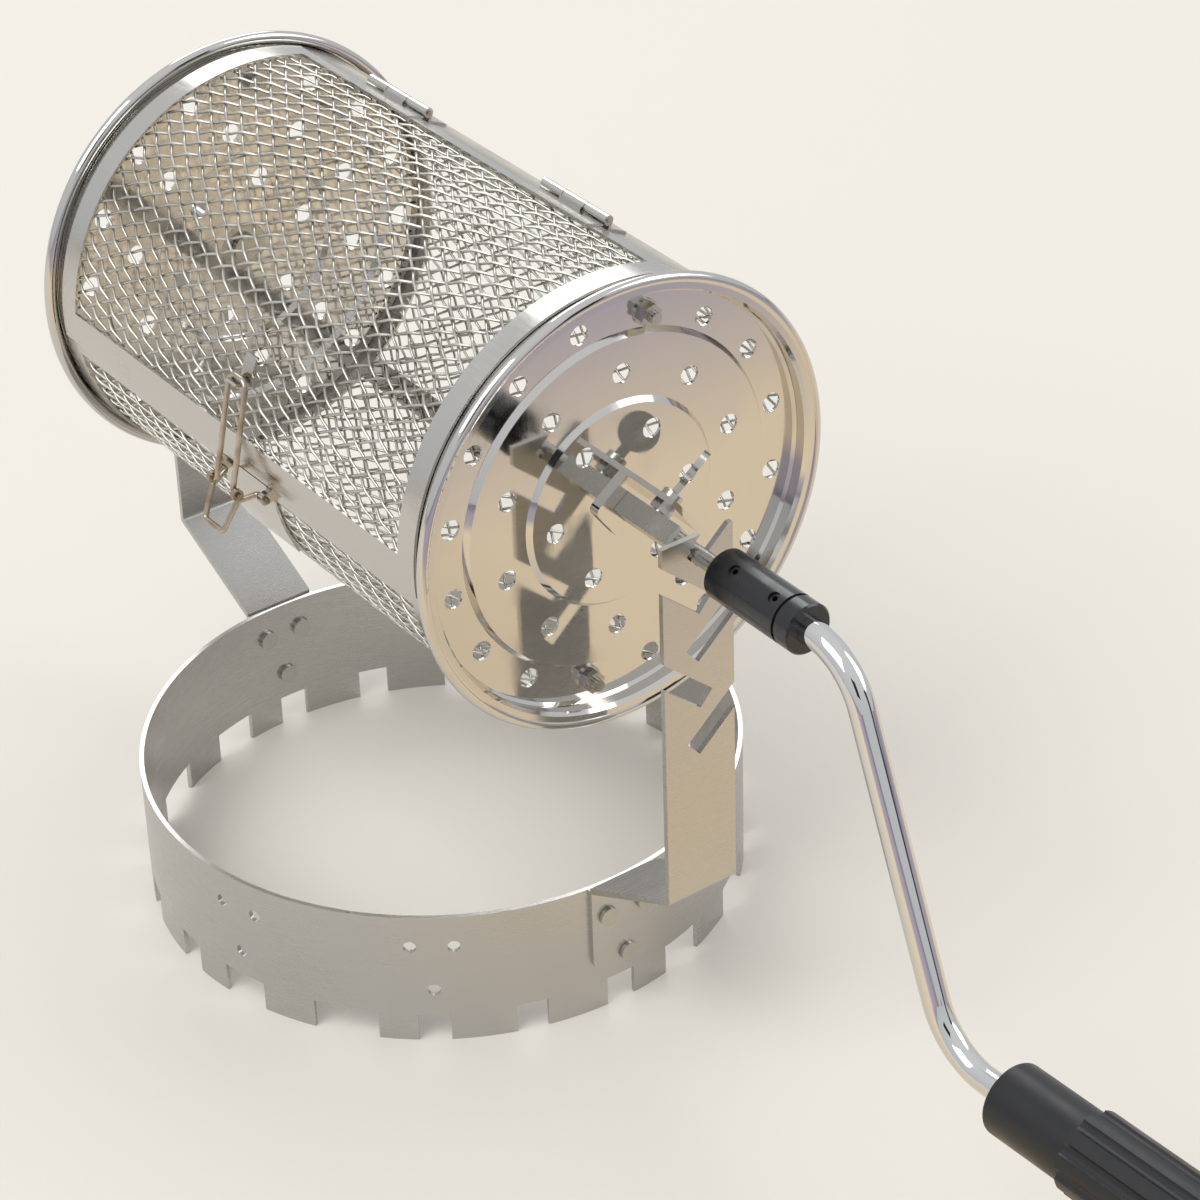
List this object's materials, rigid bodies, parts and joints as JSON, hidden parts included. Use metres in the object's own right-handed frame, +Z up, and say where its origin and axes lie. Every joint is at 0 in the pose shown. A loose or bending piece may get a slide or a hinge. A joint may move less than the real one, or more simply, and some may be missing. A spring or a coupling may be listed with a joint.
{
  "type": "stovetop coffee bean roaster",
  "caption": "Hand cranked mesh drum with a hinged, latched door, lying in the racks of a notched ring stand, turned by a bent rod with a fluted grip.",
  "frame": {"origin": "centre of the stand ring at the plane of its feet", "axes": "+X along the drum's axis towards the crank, +Z up, the drum's door faces -Y"},
  "size_m": [0.5806, 0.218, 0.2857],
  "materials": {
    "sheet_steel": "satin stainless sheet",
    "polished_steel": "mirror polished stainless sheet",
    "mesh_steel": "bright woven stainless wire",
    "wire_steel": "bright drawn wire",
    "fastener_steel": "bright machined steel",
    "chrome_rod": "bright chrome plate",
    "black_sleeve": "glossy black",
    "black_plastic": "satin black moulded plastic"
  },
  "bodies": {
    "stand": {"stand_ring": "sheet_steel", "front_upright": "sheet_steel", "rear_upright": "sheet_steel", "upright_rivets": "fastener_steel"},
    "journal": {"rear_journal": "fastener_steel"},
    "drum": {"front_disc": "polished_steel", "rear_disc": "polished_steel", "body_frame": "sheet_steel", "body_mesh": "mesh_steel", "frame_lugs": "sheet_steel", "disc_studs": "fastener_steel", "stud_washers": "fastener_steel", "stud_nuts": "fastener_steel", "rear_boss": "fastener_steel", "hub_bracket": "polished_steel", "clamp_nut": "fastener_steel", "drive_bar": "fastener_steel", "crank_sleeve": "black_sleeve", "sleeve_screws": "black_sleeve", "body_leaves": "sheet_steel", "hinge_pins": "wire_steel", "latch_plate": "sheet_steel"},
    "door": {"door_frame": "sheet_steel", "door_mesh": "mesh_steel", "door_leaves": "sheet_steel", "latch_keeper": "sheet_steel"},
    "bail": {"latch_bail": "wire_steel"},
    "loop": {"latch_loop": "wire_steel"},
    "thumb_screw": {"thumb_screw": "fastener_steel"},
    "crank": {"crank_rod": "chrome_rod", "rod_stop": "fastener_steel"},
    "grip": {"grip": "black_plastic"}
  },
  "joints": [
    {"name": "drum_lift", "type": "slide", "parent": "stand", "child": "journal", "axis": [0, 0.7547, 0.6561], "range_m": [0, 0.06]},
    {"name": "drum_spin", "type": "hinge", "parent": "journal", "child": "drum", "pos_m": [0, 0, 0.2057], "axis": [1, 0, 0], "continuous": true},
    {"name": "door_hinge", "type": "hinge", "parent": "drum", "child": "door", "pos_m": [0, 0.03087, 0.27842], "axis": [1, 0, 0], "range_deg": [-150, 0]},
    {"name": "bail_swing", "type": "hinge", "parent": "drum", "child": "bail", "pos_m": [0.009, -0.07753, 0.19342], "axis": [1, 0, 0], "range_deg": [-65, 0]},
    {"name": "loop_swing", "type": "hinge", "parent": "bail", "child": "loop", "pos_m": [0.009, -0.08406, 0.19448], "axis": [1, 0, 0], "range_deg": [0, 130]},
    {"name": "thumb_turn", "type": "hinge", "parent": "drum", "child": "thumb_screw", "pos_m": [0.13, 0, 0.2057], "axis": [0, 0.809, 0.5878], "continuous": true},
    {"name": "crank_draw", "type": "slide", "parent": "drum", "child": "crank", "axis": [1, 0, 0], "range_m": [0, 0.03]},
    {"name": "grip_spin", "type": "hinge", "parent": "crank", "child": "grip", "pos_m": [0.33752, 0, 0.08784], "axis": [0.9986, 0, 0.0523], "continuous": true}
  ],
  "couplings": [
    {"joint": "loop_swing", "follows": "bail_swing", "ratio": -2}
  ]
}
